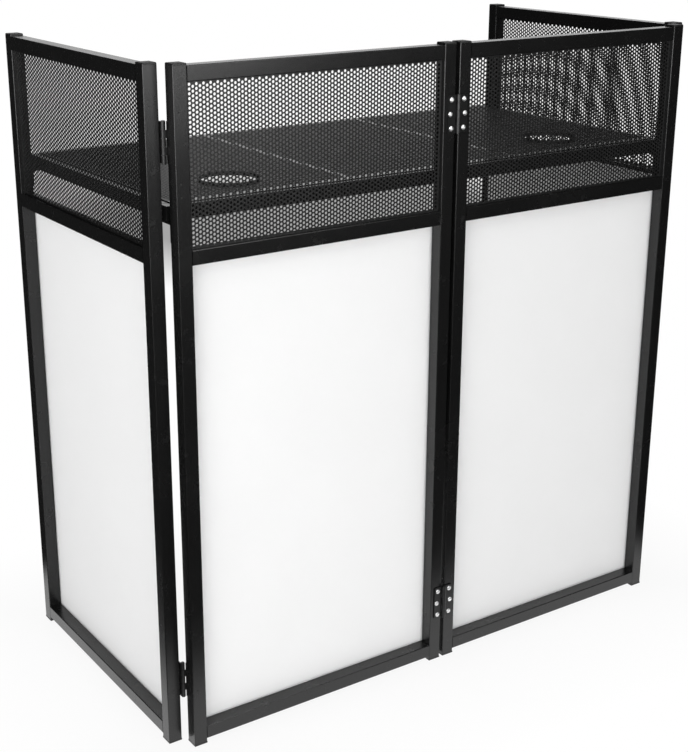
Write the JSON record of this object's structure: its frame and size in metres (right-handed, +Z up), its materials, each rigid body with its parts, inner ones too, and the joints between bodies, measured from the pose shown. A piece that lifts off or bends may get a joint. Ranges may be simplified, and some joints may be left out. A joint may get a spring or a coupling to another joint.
{
  "type": "dj facade",
  "caption": "Folding DJ facade: hinged square-tube panels with perforated upper windows, white stretch screens below and a lift-out perforated equipment table.",
  "frame": {"origin": "on the floor, under the middle of the whole object's bounding box, at the seam between the two front panels", "axes": "+Z up; -Y toward the audience, where the two wide front panels stand; +X to the right as the audience sees it"},
  "size_m": [1.1644, 0.5882, 1.187],
  "materials": {
    "powder_coated_tube": "semi-gloss black powder coat on square steel tube",
    "perforated_sheet": "satin black powder coat on perforated steel sheet",
    "stretch_fabric": "matt white stretch cloth pulled flat",
    "black_plastic": "moulded black tube insert",
    "black_steel": "black coated pressed steel"
  },
  "bodies": {
    "front_left": {"centre_hinge_lower_left_leaf": "black_steel", "centre_hinge_upper_left_leaf": "black_steel", "front_left_bottom_rail": "powder_coated_tube", "front_left_grille": "perforated_sheet", "front_left_inner_post": "powder_coated_tube", "front_left_inner_post_foot": "black_plastic", "front_left_middle_rail": "powder_coated_tube", "front_left_outer_post": "powder_coated_tube", "front_left_outer_post_foot": "black_plastic", "front_left_screen": "stretch_fabric", "front_left_table_bracket": "black_steel", "front_left_top_rail": "powder_coated_tube", "left_hinge_lower_front_leaf": "black_steel", "left_hinge_upper_front_leaf": "black_steel"},
    "front_right": {"centre_hinge_lower_right_leaf": "black_steel", "centre_hinge_upper_right_leaf": "black_steel", "front_right_bottom_rail": "powder_coated_tube", "front_right_grille": "perforated_sheet", "front_right_inner_post": "powder_coated_tube", "front_right_inner_post_foot": "black_plastic", "front_right_middle_rail": "powder_coated_tube", "front_right_outer_post": "powder_coated_tube", "front_right_outer_post_foot": "black_plastic", "front_right_screen": "stretch_fabric", "front_right_table_bracket": "black_steel", "front_right_top_rail": "powder_coated_tube", "right_hinge_lower_front_leaf": "black_steel", "right_hinge_upper_front_leaf": "black_steel"},
    "left_wing": {"left_hinge_lower_wing_leaf": "black_steel", "left_hinge_upper_wing_leaf": "black_steel", "left_wing_bottom_rail": "powder_coated_tube", "left_wing_front_post": "powder_coated_tube", "left_wing_front_post_foot": "black_plastic", "left_wing_grille": "perforated_sheet", "left_wing_middle_rail": "powder_coated_tube", "left_wing_rear_post": "powder_coated_tube", "left_wing_rear_post_foot": "black_plastic", "left_wing_screen": "stretch_fabric", "left_wing_table_bracket": "black_steel", "left_wing_top_rail": "powder_coated_tube"},
    "right_wing": {"right_hinge_lower_wing_leaf": "black_steel", "right_hinge_upper_wing_leaf": "black_steel", "right_wing_bottom_rail": "powder_coated_tube", "right_wing_front_post": "powder_coated_tube", "right_wing_front_post_foot": "black_plastic", "right_wing_grille": "perforated_sheet", "right_wing_middle_rail": "powder_coated_tube", "right_wing_rear_post": "powder_coated_tube", "right_wing_rear_post_foot": "black_plastic", "right_wing_screen": "stretch_fabric", "right_wing_table_bracket": "black_steel", "right_wing_top_rail": "powder_coated_tube"},
    "table": {"table_front_bar": "powder_coated_tube", "table_left_bar": "powder_coated_tube", "table_left_tray": "perforated_sheet", "table_middle_tray": "perforated_sheet", "table_rear_bar": "powder_coated_tube", "table_right_bar": "powder_coated_tube", "table_right_tray": "perforated_sheet"}
  },
  "joints": [
    {"name": "centre_fold", "type": "hinge", "parent": "front_left", "child": "front_right", "pos_m": [0, -0.29025, 0.59], "axis": [0, 0, -1], "range_deg": [0, 180]},
    {"name": "left_wing_fold", "type": "hinge", "parent": "front_left", "child": "left_wing", "pos_m": [-0.553, -0.25685, 0.59], "axis": [0, 0, 1], "range_deg": [0, 90]},
    {"name": "right_wing_fold", "type": "hinge", "parent": "front_right", "child": "right_wing", "pos_m": [0.553, -0.25685, 0.59], "axis": [0, 0, -1], "range_deg": [0, 90]},
    {"name": "table_lift", "type": "slide", "parent": "front_left", "child": "table", "axis": [0, 0, 1], "range_m": [0, 0.25]}
  ]
}
